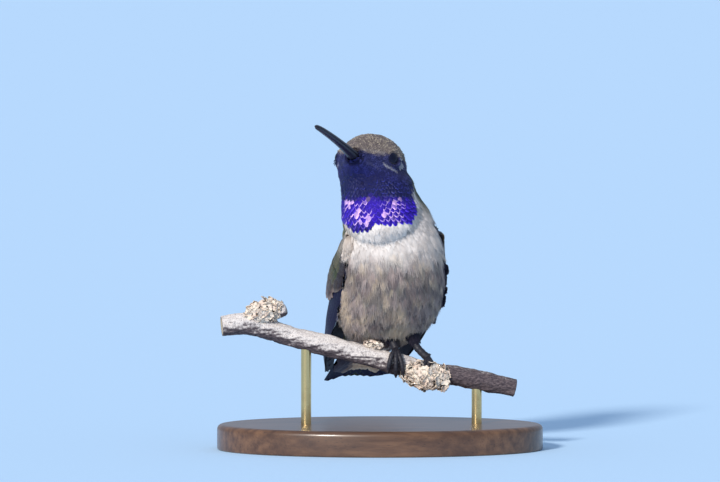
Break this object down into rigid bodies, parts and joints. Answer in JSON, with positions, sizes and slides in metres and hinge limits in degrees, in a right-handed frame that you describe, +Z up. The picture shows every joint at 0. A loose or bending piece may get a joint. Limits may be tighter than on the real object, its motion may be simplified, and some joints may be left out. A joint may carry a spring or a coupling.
{
  "type": "bird model on a stand",
  "caption": "Life-size still model of a perched hummingbird with a blackish head, violet-blue throat band and grey-buff belly, gripping a cut lichened branch held above an oval base by rods.",
  "frame": {"origin": "centre of the stand base's flat underside, on the floor", "axes": "+Z up; the branch runs along X; -Y is the side the bird's breast faces; +X is the bird's left"},
  "size_m": [0.064, 0.0594, 0.0649],
  "materials": {
    "feather_grey": "soft matt feathering, pale grey mottled with brown and a little green",
    "feather_dark": "dense blackish feathering with a slight sheen",
    "feather_violet": "small scaly iridescent feathers, violet blue with pale pink glints",
    "horn_black": "satin black horn, as on bill, toes and claws",
    "eye": "polished, very dark brown",
    "bark": "dry bark with a whitish crust on its upper side",
    "lichen": "dry cream-coloured ruffled lichen",
    "wood": "dark stained wood, satin varnish",
    "brass": "polished brass rod"
  },
  "bodies": {
    "root": {"head": "feather_dark", "neck": "feather_violet", "trunk": "feather_grey", "bill_upper": "horn_black", "bill_lower": "horn_black", "eye_left": "eye", "eye_right": "eye", "tail": "feather_dark", "wing_left_coverts": "feather_grey", "wing_left_feathers": "feather_dark", "wing_right_coverts": "feather_grey", "wing_right_feathers": "feather_dark", "leg_left": "feather_dark", "leg_right": "feather_dark", "foot_left": "horn_black", "foot_right": "horn_black", "perch_branch": "bark", "perch_lichen_upper": "lichen", "perch_lichen_lower": "lichen", "stand_base": "wood", "stand_rod_left": "brass", "stand_rod_right": "brass"}
  },
  "joints": []
}
